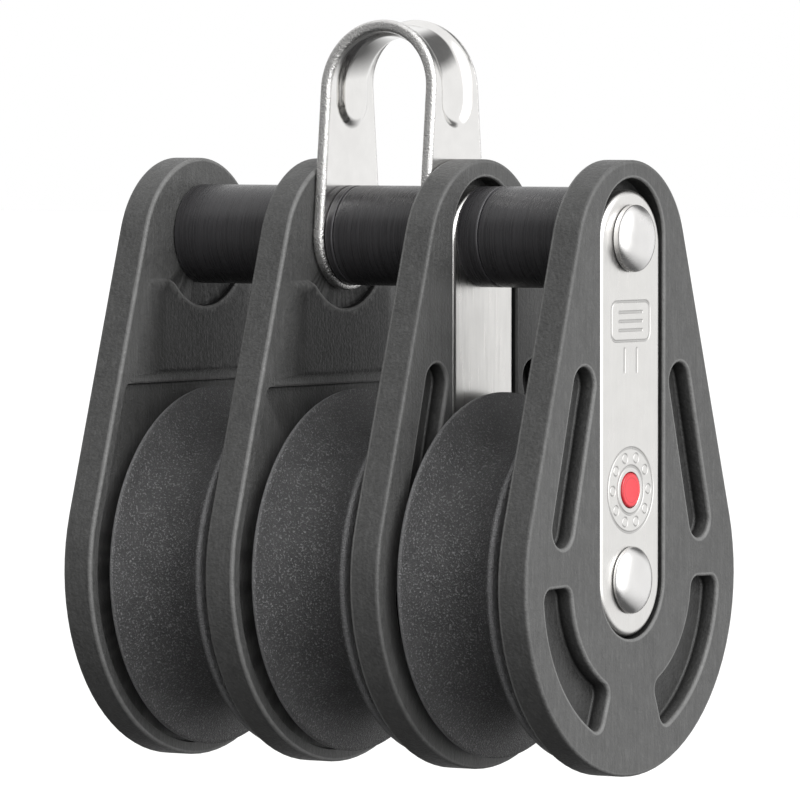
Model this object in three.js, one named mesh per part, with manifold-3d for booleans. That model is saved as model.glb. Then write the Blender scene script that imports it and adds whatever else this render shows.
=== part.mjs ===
// Triple ball-bearing rope block with a swinging bow. Millimetres, +Z up.
// X runs along the two pins, Z up through the bow, and Y is the way the ropes run.
// The origin is the point under the bow's crown where a shackle bears.
import * as THREE from 'three';
import { mergeVertices } from 'three/addons/utils/BufferGeometryUtils.js';
import Module from 'manifold-3d';

const wasm = await Module();
wasm.setup();

// Driving dimensions
const SHEAVE_RADIUS = 22.5;
const SHEAVE_WIDTH = 13.75;
const CENTRES = 41.55; // from the head pin down to the axle
const PITCH = 21.3; // from one sheave to the next along X
const CHEEK_THICKNESS = 4.15;
const PIN_RADIUS = 3;
const RUNNING_GAP = 0.1;
const ARC_TOLERANCE = 0.07; // how far a chord may fall inside its arc
const PIN_SIDES = 20;
const SHEAVE_SIDES = 36;

// Bow: a stainless strip bent over a round crown, with a pressed flute
const BOW_OUTER = 8.5; // half the width over the legs, and the crown's outer radius
const BOW_THICKNESS = 1.45;
const BOW_END_RADIUS = 6.8;
const BOW_HEIGHT = 26.75; // from the head pin to the crown's top
const BOW_TAPER = 0.0935; // half-width lost per millimetre along the strip
const FLUTE_DEPTH = 0.7;
const FLUTE_HALF_WIDTH = 3.2;
const FLUTE_START = 13.5; // height of the flute's round end over the head pin

const BOW_INNER = BOW_OUTER - BOW_THICKNESS;
const CROWN_Z = FLUTE_DEPTH - BOW_INNER;
const PIN_Z = CROWN_Z + BOW_OUTER - BOW_HEIGHT;
const AXLE_Z = PIN_Z - CENTRES;

// Cheek: a teardrop plate with a strap channel and four blind slots on its outward face,
// and a sheave recess under a raised land on its inward face
const CHEEK_AXLE_RADIUS = 23.95;
const CHEEK_HEAD_RADIUS = 12.4;
const CHEEK_HEAD_HEIGHT = 38.67; // the centre of the cheek's head, over the axle
const CHEEK_LIP = 1.5;
const RECESS_DEPTH = 0.7;
const RECESS_TOP = 23.2; // over the axle
const LAND_HEIGHT = 0.8;
const LAND_TOP = 5.6; // under the head pin
const LAND_ARC_RADIUS = 9;
const SLOT_DEPTH = 2.3;
const UPPER_SLOT = { top: [10.9, 23.9], bottom: [15.6, 6.8], halfWidth: 2.3 };
const LOWER_SLOT = { inner: 13.8, outer: 19.8, from: -69, to: -1, corner: 1.5 };

// Strap: the stainless load plate in the cheek's channel
const STRAP_HALF_WIDTH = 6.9;
const STRAP_THICKNESS = 2;
const STRAP_SINK = 0.3; // its face lies this far under the cheek's face
const STRAP_TOP_DROP = 0.99; // its upper round end is centred this far under the head pin
const CHANNEL_HALF_WIDTH = 7.2;
const CHANNEL_TOP_RISE = 0.12;
const INLAY_RADIUS = 2.1;
const INLAY_DEPTH = 0.8;
const INLAY_RISE = 0.15;
const INLAY_HEIGHT = 10.95; // over the axle
const INLAY_SIDES = 12;

// Head pin stack and axle stack
const RIVET_HEAD_RADIUS = 4.1;
const HEAD_PIN_DOME = 1.93; // height of the head pin's rivet heads
const AXLE_PIN_DOME = 1.53;
const DOME_RISE = 1.2; // the round part of a rivet head
const SLEEVE_RADIUS = 6.2;
const SLEEVE_CHAMFER = 0.4;
const SIDE_COLLAR = 3;
const MIDDLE_COLLAR = 1.1;
const COLLAR_PLAY = 0.05;
const RACE_RADIUS = 7;
const WASHER_RADIUS = 10.5;
const WASHER_THICKNESS = 1.5;

// Sheave and its ball set
const GROOVE_HALF_WIDTH = 6.1;
const GROOVE_DEPTH = 5.2;
const GROOVE_STEPS = 6;
const SHEAVE_BORE = 12.5;
const SHEAVE_LIP_BORE = 11.4;
const SHEAVE_LIP_THICKNESS = 0.95;
const BALL_RADIUS = 2.45;
const BALL_CIRCLE = 9.75;
const BALL_COUNT = 8;
const BALL_ROW_OFFSET = 2.6;
const CAGE_HALF_THICKNESS = 0.8;
const CAGE_HALF_WIDTH = 1.2;

const HALF_CHEEK = CHEEK_THICKNESS / 2;
const STRAP_FACE = HALF_CHEEK - STRAP_SINK;
const CHANNEL_FLOOR = STRAP_FACE - STRAP_THICKNESS;
const INNER_CHEEK_X = PITCH / 2;
const OUTER_CHEEK_X = PITCH * 1.5;
const BORE_RADIUS = PIN_RADIUS + RUNNING_GAP;
const REACH = 100; // longer than the part, for cutting tools

const steel = { color: 0xdedcd6, roughness: 0.3, metalness: 1 };
const polished = { color: 0xe6e5e2, roughness: 0.12, metalness: 1 };
const moulded = { color: 0x2b2b2a, roughness: 0.6, metalness: 0 };
const sheaveBlack = { color: 0x1f1f20, roughness: 0.7, metalness: 0 };
const turnedBlack = { color: 0x1b1a1c, roughness: 0.4, metalness: 0 };
const white = { color: 0xe4e2da, roughness: 0.5, metalness: 0 };
const red = { color: 0xd8272c, roughness: 0.35, metalness: 0 };

const block = new THREE.Group();

function add(name, geometry, finish, x = 0, turn = 0) {
  const mesh = new THREE.Mesh(geometry, new THREE.MeshStandardMaterial(finish));
  mesh.name = name;
  mesh.position.x = x;
  mesh.rotation.z = turn;
  block.add(mesh);
}

// Closed geometry to manifold solid, and back
function solid(geometry) {
  geometry.deleteAttribute('normal');
  geometry.deleteAttribute('uv');
  const merged = mergeVertices(geometry);
  const triVerts = [];
  for (let i = 0; i < merged.index.count; i += 3) {
    const [a, b, c] = [0, 1, 2].map((k) => merged.index.getX(i + k));
    if (a !== b && b !== c && c !== a) triVerts.push(a, b, c);
  }
  const vertProperties = merged.attributes.position.array;
  return new wasm.Manifold(
    new wasm.Mesh({ numProp: 3, vertProperties, triVerts: Uint32Array.from(triVerts) }),
  );
}

function skin(manifold) {
  const { vertProperties, triVerts } = manifold.getMesh();
  const geometry = new THREE.BufferGeometry();
  geometry.setAttribute('position', new THREE.BufferAttribute(vertProperties, 3));
  geometry.setIndex(new THREE.BufferAttribute(triVerts, 1));
  geometry.computeVertexNormals();
  return geometry;
}

// Points on a round stretch of an outline
function arc(u, v, radius, from, to) {
  const step = 2 * Math.acos(1 - ARC_TOLERANCE / radius);
  const count = Math.ceil(Math.abs(to - from) / step);
  return Array.from({ length: count + 1 }, (_, i) => {
    const angle = from + ((to - from) * i) / count;
    return new THREE.Vector2(u + radius * Math.cos(angle), v + radius * Math.sin(angle));
  });
}

function circle(z, radius) {
  return arc(0, z, radius, 0, 2 * Math.PI).slice(0, -1);
}

function mirrored(points) {
  return points.map((p) => new THREE.Vector2(-p.x, p.y)).reverse();
}

// Two round ends joined by their outer tangents; the lower end is given first
function tangentHull(y0, z0, radius0, y1, z1, radius1) {
  const length = Math.hypot(y1 - y0, z1 - z0);
  const lean = Math.atan2(z1 - z0, y1 - y0) - Math.PI / 2;
  const tangent = Math.asin((radius0 - radius1) / length);
  return [
    ...arc(y0, z0, radius0, lean + Math.PI - tangent, lean + 2 * Math.PI + tangent),
    ...arc(y1, z1, radius1, lean + tangent, lean + Math.PI - tangent),
  ];
}

// The cheek's teardrop, brought in by an inset
function teardrop(inset) {
  const lower = CHEEK_AXLE_RADIUS - inset;
  const upper = CHEEK_HEAD_RADIUS - inset;
  return tangentHull(0, AXLE_Z, lower, 0, AXLE_Z + CHEEK_HEAD_HEIGHT, upper);
}

// A ring sector about the axle with rounded corners
function sectorSlot({ inner, outer, from, to, corner }) {
  const [start, end] = [from, to].map(THREE.MathUtils.degToRad);
  const quarter = Math.PI / 2;
  const outerCentre = outer - corner;
  const innerCentre = inner + corner;
  const outerTurn = Math.asin(corner / outerCentre);
  const innerTurn = Math.asin(corner / innerCentre);
  const rounding = (distance, angle, first) => {
    const y = distance * Math.cos(angle);
    const z = AXLE_Z + distance * Math.sin(angle);
    return arc(y, z, corner, angle + first, angle + first + quarter);
  };
  return [
    ...rounding(outerCentre, start + outerTurn, -quarter),
    ...arc(0, AXLE_Z, outer, start + outerTurn, end - outerTurn).slice(1, -1),
    ...rounding(outerCentre, end - outerTurn, 0),
    ...rounding(innerCentre, end - innerTurn, quarter),
    ...arc(0, AXLE_Z, inner, end - innerTurn, start + innerTurn).slice(1, -1),
    ...rounding(innerCentre, start + innerTurn, 2 * quarter),
  ];
}

// An outline in the YZ plane, swept along X
const ALONG_X = new THREE.Matrix4().set(0, 0, 1, 0, 1, 0, 0, 0, 0, 1, 0, 0, 0, 0, 0, 1);

function slab(points, fromX, toX) {
  const settings = { depth: toX - fromX, bevelEnabled: false };
  const geometry = new THREE.ExtrudeGeometry(new THREE.Shape(points), settings);
  return geometry.applyMatrix4(ALONG_X).translate(fromX, 0, 0);
}

function rectangle(halfWidth, bottom, top) {
  return [
    new THREE.Vector2(-halfWidth, bottom),
    new THREE.Vector2(halfWidth, bottom),
    new THREE.Vector2(halfWidth, top),
    new THREE.Vector2(-halfWidth, top),
  ];
}

// A profile of [radius, x] pairs turned about the X axis, then moved to a height
function turned(profile, sides, z) {
  const points = profile.map(([radius, x]) => new THREE.Vector2(radius, x));
  return new THREE.LatheGeometry(points, sides).rotateZ(-Math.PI / 2).translate(0, 0, z);
}

function ring(bore, radius, fromX, toX, sides, z, chamfer = 0) {
  const profile = [
    [bore, fromX],
    [radius - chamfer, fromX],
    [radius, fromX + chamfer],
    [radius, toX - chamfer],
    [radius - chamfer, toX],
    [bore, toX],
    [bore, fromX],
  ];
  const corners = chamfer > 0 ? profile : profile.filter((_, i) => i !== 2 && i !== 4);
  return turned(corners, sides, z);
}

// An arch in the XZ plane: two straight legs and a half-round crown, swept along Y
function arch(outer, inner) {
  const foot = PIN_Z - REACH;
  const outline = [
    new THREE.Vector2(-inner, foot),
    ...arc(0, CROWN_Z, inner, Math.PI, 0),
    new THREE.Vector2(inner, foot),
    new THREE.Vector2(outer, foot),
    ...arc(0, CROWN_Z, outer, 0, Math.PI),
    new THREE.Vector2(-outer, foot),
  ];
  const settings = { depth: REACH, bevelEnabled: false };
  const geometry = new THREE.ExtrudeGeometry(new THREE.Shape(outline), settings);
  return geometry.rotateX(Math.PI / 2).translate(0, REACH / 2, 0);
}

// The bow's blank seen along X: a round end about the pin that narrows along the strip
function bowBlank() {
  const halfAt = (along) => BOW_END_RADIUS - BOW_TAPER * along;
  const legLength = CROWN_Z - PIN_Z;
  const side = [new THREE.Vector2(halfAt(legLength), CROWN_Z)];
  for (const angle of [Math.PI / 6, Math.PI / 3, Math.PI / 2]) {
    const along = legLength + (BOW_OUTER - BOW_THICKNESS / 2) * angle;
    side.push(new THREE.Vector2(halfAt(along), CROWN_Z + BOW_OUTER * Math.sin(angle)));
  }
  side.push(new THREE.Vector2(side.at(-1).x, CROWN_Z + BOW_OUTER + 1));
  return [...arc(0, PIN_Z, BOW_END_RADIUS, Math.PI, 2 * Math.PI), ...side, ...mirrored(side)];
}

function bow() {
  const fluteFoot = PIN_Z + FLUTE_START + FLUTE_HALF_WIDTH;
  const fluteOutline = tangentHull(0, fluteFoot, FLUTE_HALF_WIDTH, 0, REACH, FLUTE_HALF_WIDTH);
  const flute = solid(slab(fluteOutline, -REACH, REACH));
  const groove = solid(arch(BOW_OUTER + 1, BOW_OUTER - FLUTE_DEPTH)).intersect(flute);
  const ridge = solid(arch(BOW_INNER + BOW_THICKNESS / 2, BOW_INNER - FLUTE_DEPTH)).intersect(flute);
  const pinHole = solid(slab(circle(PIN_Z, BORE_RADIUS), -REACH, REACH));
  const strip = solid(arch(BOW_OUTER, BOW_INNER)).intersect(
    solid(slab(bowBlank(), -REACH / 2, REACH / 2)),
  );
  return skin(strip.subtract(groove).add(ridge).subtract(pinHole));
}

// A cheek with its mid-plane at x = 0 and its outward face towards +X
function cheek() {
  const inwardFace = -HALF_CHEEK;
  const recessTopZ = AXLE_Z + RECESS_TOP;
  const landTopZ = PIN_Z - LAND_TOP;
  const inset = teardrop(CHEEK_LIP);
  const plate = solid(slab(teardrop(0), inwardFace, HALF_CHEEK));
  const recess = solid(slab(inset, inwardFace - 1, inwardFace + RECESS_DEPTH)).intersect(
    solid(slab(rectangle(REACH, AXLE_Z - REACH, recessTopZ), -REACH, REACH)),
  );
  const land = solid(slab(inset, inwardFace - LAND_HEIGHT, 0))
    .intersect(solid(slab(rectangle(REACH, recessTopZ, landTopZ), -REACH, REACH)))
    .subtract(solid(slab(circle(PIN_Z, LAND_ARC_RADIUS), -REACH, inwardFace)));
  const { top, bottom, halfWidth } = UPPER_SLOT;
  const upper = tangentHull(
    bottom[0], AXLE_Z + bottom[1], halfWidth, top[0], AXLE_Z + top[1], halfWidth,
  );
  const lower = sectorSlot(LOWER_SLOT);
  const slots = [upper, mirrored(upper), lower, mirrored(lower)];
  const channel = tangentHull(
    0, AXLE_Z, CHANNEL_HALF_WIDTH, 0, PIN_Z + CHANNEL_TOP_RISE, CHANNEL_HALF_WIDTH,
  );
  const cuts = [
    recess,
    solid(slab(channel, CHANNEL_FLOOR, REACH)),
    ...slots.map((outline) => solid(slab(outline, HALF_CHEEK - SLOT_DEPTH, REACH))),
    ...[AXLE_Z, PIN_Z].map((z) => solid(slab(circle(z, BORE_RADIUS), -REACH, REACH))),
  ];
  return skin(cuts.reduce((body, cut) => body.subtract(cut), plate.add(land)));
}

// A strap for a cheek at x = 0; an outer one has a pocket for the inlay
function strap(hasPocket) {
  const outline = tangentHull(
    0, AXLE_Z, STRAP_HALF_WIDTH, 0, PIN_Z - STRAP_TOP_DROP, STRAP_HALF_WIDTH,
  );
  const plate = solid(slab(outline, CHANNEL_FLOOR, STRAP_FACE));
  const cuts = [AXLE_Z, PIN_Z].map((z) => solid(slab(circle(z, BORE_RADIUS), -REACH, REACH)));
  if (hasPocket) {
    const pocket = circle(AXLE_Z + INLAY_HEIGHT, INLAY_RADIUS + RUNNING_GAP);
    cuts.push(solid(slab(pocket, STRAP_FACE - INLAY_DEPTH, REACH)));
  }
  return skin(cuts.reduce((body, cut) => body.subtract(cut), plate));
}

function inlay() {
  const profile = [
    [0, STRAP_FACE - INLAY_DEPTH],
    [INLAY_RADIUS, STRAP_FACE - INLAY_DEPTH],
    [INLAY_RADIUS, STRAP_FACE],
    [INLAY_RADIUS - INLAY_RISE, STRAP_FACE + INLAY_RISE],
    [0, STRAP_FACE + INLAY_RISE],
  ];
  return turned(profile, INLAY_SIDES, AXLE_Z + INLAY_HEIGHT);
}

// A through pin with a domed rivet head on each end
function rivetedPin(z, headHeight) {
  const seat = OUTER_CHEEK_X + STRAP_FACE;
  const top = seat + headHeight;
  const head = [
    [PIN_RADIUS, seat],
    [RIVET_HEAD_RADIUS, seat],
    [RIVET_HEAD_RADIUS, top - DOME_RISE],
    [RIVET_HEAD_RADIUS * 0.85, top - DOME_RISE * 0.35],
    [RIVET_HEAD_RADIUS * 0.5, top - DOME_RISE * 0.08],
    [0, top],
  ];
  const otherHead = head.map(([radius, x]) => [radius, -x]).reverse();
  return turned([...otherHead, ...head], PIN_SIDES, z);
}

function sheave() {
  const half = SHEAVE_WIDTH / 2;
  const lip = half - SHEAVE_LIP_THICKNESS;
  const grooveRadius = (GROOVE_HALF_WIDTH ** 2 + GROOVE_DEPTH ** 2) / (2 * GROOVE_DEPTH);
  const sweep = Math.asin(GROOVE_HALF_WIDTH / grooveRadius);
  const arcCentre = SHEAVE_RADIUS - GROOVE_DEPTH + grooveRadius;
  const groove = Array.from({ length: GROOVE_STEPS + 1 }, (_, i) => {
    const angle = sweep * ((2 * i) / GROOVE_STEPS - 1);
    return [arcCentre - grooveRadius * Math.cos(angle), grooveRadius * Math.sin(angle)];
  });
  const profile = [
    [SHEAVE_BORE, lip],
    [SHEAVE_BORE, -lip],
    [SHEAVE_LIP_BORE, -lip],
    [SHEAVE_LIP_BORE, -half],
    [SHEAVE_RADIUS, -half],
    ...groove,
    [SHEAVE_RADIUS, half],
    [SHEAVE_LIP_BORE, half],
    [SHEAVE_LIP_BORE, lip],
    [SHEAVE_BORE, lip],
  ];
  return turned(profile, SHEAVE_SIDES, AXLE_Z);
}

// Two rows of balls held by one cage ring
function ballSet() {
  const inner = BALL_CIRCLE - CAGE_HALF_THICKNESS;
  const outer = BALL_CIRCLE + CAGE_HALF_THICKNESS;
  let set = solid(ring(inner, outer, -CAGE_HALF_WIDTH, CAGE_HALF_WIDTH, PIN_SIDES, AXLE_Z));
  for (const row of [-1, 1]) {
    for (let i = 0; i < BALL_COUNT; i += 1) {
      const angle = ((i + row / 4) * 2 * Math.PI) / BALL_COUNT;
      const y = BALL_CIRCLE * Math.cos(angle);
      const z = AXLE_Z + BALL_CIRCLE * Math.sin(angle);
      const ball = new THREE.SphereGeometry(BALL_RADIUS, 6, 4).translate(row * BALL_ROW_OFFSET, y, z);
      set = set.add(solid(ball));
    }
  }
  return skin(set);
}

// Cheeks, straps and inlays; a left-hand cheek is a right-hand one turned half round
const cheekGeometry = cheek();
for (const [side, direction] of [['left', -1], ['right', 1]]) {
  for (const [place, distance] of [['inner', INNER_CHEEK_X], ['outer', OUTER_CHEEK_X]]) {
    const turn = direction < 0 ? Math.PI : 0;
    const x = direction * distance;
    add(`cheek_${side}_${place}`, cheekGeometry, moulded, x, turn);
    add(`strap_${side}_${place}`, strap(place === 'outer'), steel, x, turn);
    if (place === 'outer') add(`inlay_${side}`, inlay(), red, x, turn);
  }
}

// Pins, sleeves and collars
add('bow', bow(), polished);
add('head_pin', rivetedPin(PIN_Z, HEAD_PIN_DOME), polished);
add('axle_pin', rivetedPin(AXLE_Z, AXLE_PIN_DOME), polished);

function sleeve(name, fromX, toX, chamfer = SLEEVE_CHAMFER) {
  const tube = ring(BORE_RADIUS, SLEEVE_RADIUS, fromX, toX, PIN_SIDES, PIN_Z, chamfer);
  add(name, tube, turnedBlack);
}

function collar(name, fromX, toX) {
  sleeve(name, fromX, toX, 0);
}

const innerStrapFace = INNER_CHEEK_X + STRAP_FACE;
const outerCheekInside = OUTER_CHEEK_X - HALF_CHEEK;
const bowInside = BOW_INNER - COLLAR_PLAY;
collar('head_collar_right', innerStrapFace, innerStrapFace + SIDE_COLLAR);
sleeve('head_sleeve_right', innerStrapFace + SIDE_COLLAR, outerCheekInside);
collar('head_collar_middle_right', bowInside - MIDDLE_COLLAR, bowInside);
sleeve('head_sleeve_middle', MIDDLE_COLLAR - bowInside, bowInside - MIDDLE_COLLAR);
collar('head_collar_middle_left', -bowInside, MIDDLE_COLLAR - bowInside);
sleeve('head_sleeve_left', -outerCheekInside, -innerStrapFace - SIDE_COLLAR);
collar('head_collar_left', -innerStrapFace - SIDE_COLLAR, -innerStrapFace);

// Sheaves with their inner races, ball sets and thrust washers, between each pair of walls
const recessFloor = RECESS_DEPTH - HALF_CHEEK;
const innerRecessX = INNER_CHEEK_X + recessFloor;
const outerRecessX = OUTER_CHEEK_X + recessFloor;
const innerCheekOutside = INNER_CHEEK_X + HALF_CHEEK;
const bays = [
  { side: 'left', centre: -PITCH, low: -outerRecessX, high: -innerCheekOutside },
  { side: 'middle', centre: 0, low: -innerRecessX, high: innerRecessX },
  { side: 'right', centre: PITCH, low: innerCheekOutside, high: outerRecessX },
];

function washer(name, fromX, toX) {
  add(name, ring(BORE_RADIUS, WASHER_RADIUS, fromX, toX, PIN_SIDES, AXLE_Z), turnedBlack);
}

for (const { side, centre, low, high } of bays) {
  const raceLow = low + WASHER_THICKNESS;
  const raceHigh = high - WASHER_THICKNESS;
  add(`sheave_${side}`, sheave(), sheaveBlack, centre);
  add(`ball_set_${side}`, ballSet(), white, centre);
  const race = ring(BORE_RADIUS, RACE_RADIUS, raceLow, raceHigh, PIN_SIDES, AXLE_Z);
  add(`inner_race_${side}`, race, steel);
  washer(`thrust_washer_${side}_a`, low, raceLow);
  washer(`thrust_washer_${side}_b`, raceHigh, high);
}

export default block;
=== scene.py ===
import math

import bmesh
import bpy
import numpy as np
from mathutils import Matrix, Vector
from mathutils.geometry import delaunay_2d_cdt


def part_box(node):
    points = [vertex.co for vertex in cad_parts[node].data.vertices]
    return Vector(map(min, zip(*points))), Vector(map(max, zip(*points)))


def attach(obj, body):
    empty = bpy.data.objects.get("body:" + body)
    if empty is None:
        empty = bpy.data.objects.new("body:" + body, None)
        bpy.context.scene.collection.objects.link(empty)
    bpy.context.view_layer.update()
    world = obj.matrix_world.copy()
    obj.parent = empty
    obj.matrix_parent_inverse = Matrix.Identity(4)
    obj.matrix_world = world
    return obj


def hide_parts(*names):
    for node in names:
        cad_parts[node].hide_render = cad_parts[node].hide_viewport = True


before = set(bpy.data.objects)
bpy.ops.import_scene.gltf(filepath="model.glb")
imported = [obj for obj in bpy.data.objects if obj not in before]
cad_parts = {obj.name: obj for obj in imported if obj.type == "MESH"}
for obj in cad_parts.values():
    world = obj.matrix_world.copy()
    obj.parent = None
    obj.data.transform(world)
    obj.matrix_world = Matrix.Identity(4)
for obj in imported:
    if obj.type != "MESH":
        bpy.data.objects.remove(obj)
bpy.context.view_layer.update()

bl_info = {
    "name": "Triple Rope Block",
    "version": (1, 0, 0),
    "blender": (4, 5, 0),
    "location": "View3D > Sidebar > Rope Block",
    "description": "A ball-bearing rope block with three sheaves and a swinging bow",
    "category": "Object",
}

MM = 0.001
WELD = 2e-6  # metres; points closer than this are one point
LEAD = 0.14  # millimetres of flat kept beside each rounded edge
QUARTER = math.pi / 2


def box(node):
    """A node's lowest and highest corner in millimetres."""
    low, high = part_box(node)
    return np.array(low) / MM, np.array(high) / MM


def middle(node):
    """The middle of a node's box in millimetres."""
    low, high = box(node)
    return (low + high) / 2


AXLE_Z = middle("sheave_middle")[2]
PIN_Z = middle("head_sleeve_middle")[2]
CENTRES = PIN_Z - AXLE_Z
PIN_RADIUS = 3.0
PIN_HOLE = PIN_RADIUS + 0.1  # radius of every hole that a pin goes through
HOLLOW = -1.0  # relief of a place painted dark: painted shade in slots, channels, the arc and rivet seats, and the colour of the etched strap marks; 1 is an edge painted lighter, as worn edge and painted highlight
SHALLOW = -0.6  # relief of the floor of a slot, and of an inside corner: a lighter painted shade
SIDES = ("left", "middle", "right")
CHEEKS = [(side, place) for side in ("left", "right") for place in ("inner", "outer")]


# Sizes and colours that a user would change

def length(name, description, default):
    """A length property in metres, from a default in millimetres."""
    return bpy.props.FloatProperty(
        name=name, description=description, default=default * MM, min=0, unit="LENGTH",
        precision=5,
    )


def colour(name, description, default):
    """A colour property."""
    return bpy.props.FloatVectorProperty(
        name=name, description=description, default=default, size=3, min=0, max=1,
        subtype="COLOR",
    )


class BlockSizes(bpy.types.PropertyGroup):
    """Sizes of the block's details"""

    cheek_edge: length("Cheek edge", "Radius of the edge round a cheek", 0.35)
    slot_edge: length("Slot edge", "Radius of the edge round a slot or channel", 0.35)
    land_edge: length("Land edge", "Radius of the edge round the raised land", 0.3)
    strap_edge: length("Strap edge", "Radius of the edge round a strap's face", 0.75)
    bow_edge: length("Bow edge", "Radius of the edges along the bow's strip", 0.5)
    flute_slope: length("Flute slope", "Width of the slope into the bow's flute", 1.2)
    mark_depth: length("Mark depth", "Depth of the plain marks in the outer straps", 0.05)
    mark_width: length("Mark width", "Width of the line of a mark", 0.34)
    rim_edge: length("Rim edge", "Radius of the edges of a sheave's rims", 0.35)
    turned_edge: length("Turned edge", "Radius of the edges of turned pieces", 0.15)


class BlockColours(bpy.types.PropertyGroup):
    """Colours of the block's finishes"""

    cheek: colour("Cheek", "Black fibre-filled moulding", (0.068, 0.068, 0.067))
    sheave: colour("Sheave", "Black acetal of the sheaves", (0.06, 0.06, 0.061))
    sleeve: colour("Sleeve", "Black acetal of the head sleeves", (0.03, 0.029, 0.031))
    washer: colour("Washer", "Black acetal of the thrust washers", (0.05, 0.05, 0.05))
    ball: colour("Ball", "White acetal of the ball sets", (0.82, 0.8, 0.75))
    inlay: colour("Inlay", "Red inlay in the outer straps", (0.78, 0.02, 0.035))
    bow: colour("Bow", "Polished stainless steel of the bow", (0.86, 0.85, 0.835))
    rivet: colour("Rivet", "Polished stainless steel of the pins", (0.84, 0.83, 0.82))
    strap: colour("Strap", "Satin stainless steel of the straps", (0.8, 0.79, 0.77))
    race: colour("Race", "Ground stainless steel of the inner races", (0.72, 0.72, 0.71))
    floor: colour("Floor", "Pale studio floor", (0.9, 0.9, 0.9))


def size(name):
    """A size in millimetres."""
    return getattr(bpy.context.scene.block_sizes, name) / MM


def shade(name):
    """A colour with its alpha."""
    return (*getattr(bpy.context.scene.block_colours, name), 1.0)


# Outlines: closed loops of points in a plane, anticlockwise

def arc(centre, radius, start, end, steps=24):
    """Points on a circle from one angle to another, both ends included."""
    angle = np.linspace(start, end, steps + 1)
    return np.array(centre) + radius * np.stack([np.cos(angle), np.sin(angle)], 1)


def circle(centre, radius, steps=64):
    """A full circle without its repeated last point."""
    return arc(centre, radius, 0, 2 * math.pi, steps)[:-1]


def hull(low, low_radius, high, high_radius, steps=48):
    """Two round ends joined by their outer tangents. The tangents touch both circles at the
    angle whose sine is the difference of the radii over the distance between centres."""
    low, high = np.array(low, float), np.array(high, float)
    along = high - low
    lean = math.atan2(along[1], along[0]) - QUARTER
    touch = math.asin((low_radius - high_radius) / np.hypot(*along))
    return np.concatenate([
        arc(low, low_radius, lean + math.pi - touch, lean + 2 * math.pi + touch, steps),
        arc(high, high_radius, lean + touch, lean + math.pi - touch, steps),
    ])


def rounded(corners, radii, closed=False, steps=6, lead=0.0):
    """A polyline whose corners are arcs: at a corner with half angle a, an arc of radius r
    starts r / tan(a) along both sides, about a centre r / sin(a) along the bisector.
    A third column is the relief: 1 on arcs that turn left, painted lighter as worn edge and
    painted highlight; SHALLOW on arcs that turn right, given painted shade; else 0."""
    corners = np.array(corners, float)
    count = len(corners)
    radii = np.broadcast_to(np.array(radii, float), count)
    rows = []
    for i, (corner, radius) in enumerate(zip(corners, radii)):
        at_end = not closed and i in (0, count - 1)
        if at_end or radius == 0:
            rows.append([[*corner, 0.0]])
            continue
        back = corners[i - 1] - corner
        ahead = corners[(i + 1) % count] - corner
        back_length, ahead_length = np.hypot(*back), np.hypot(*ahead)
        back, ahead = back / back_length, ahead / ahead_length
        half = math.acos(np.clip(back @ ahead, -1, 1)) / 2
        reach = radius / math.tan(half)
        bisector = (back + ahead) / np.hypot(*(back + ahead))
        centre = corner + bisector * radius / math.sin(half)
        first, last = corner + back * reach - centre, corner + ahead * reach - centre
        start = math.atan2(first[1], first[0])
        turn = math.atan2(first[0] * last[1] - first[1] * last[0], first @ last)
        points = arc(centre, radius, start, start + turn, steps)
        # Outside bends are painted lighter as worn edge and painted highlight; inside bends
        # get painted shade.
        relief = np.full((steps + 1, 1), 1.0 if turn > 0 else SHALLOW)
        bend = np.hstack([points, relief])
        if lead > 0:
            before = corner + back * min(reach + lead, 0.5 * (back_length + reach))
            after = corner + ahead * min(reach + lead, 0.5 * (ahead_length + reach))
            bend = np.vstack([[*before, 0.0], bend, [*after, 0.0]])
        rows.append(bend)
    return np.concatenate(rows)


def grow(loop, distance):
    """A loop moved outwards: every point goes along its mitre, which is the sum of the
    normals of its two edges over one plus their dot product."""
    edge = np.roll(loop, -1, 0) - loop
    normal = np.stack([edge[:, 1], -edge[:, 0]], 1) / np.hypot(*edge.T)[:, None]
    before = np.roll(normal, 1, 0)
    mitre = (normal + before) / (1 + (normal * before).sum(1))[:, None]
    return loop + distance * mitre


def flipped(loop):
    """A loop mirrored across the plane's upright, kept anticlockwise."""
    return loop[::-1] * (-1, 1)


def smooth(step):
    """A step between 0 and 1 with level ends: 3 s^2 - 2 s^3, held outside."""
    step = np.clip(step, 0, 1)
    return step * step * (3 - 2 * step)


# Skins: patches of (a, b, height) points over a plane, gathered into one mesh

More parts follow.
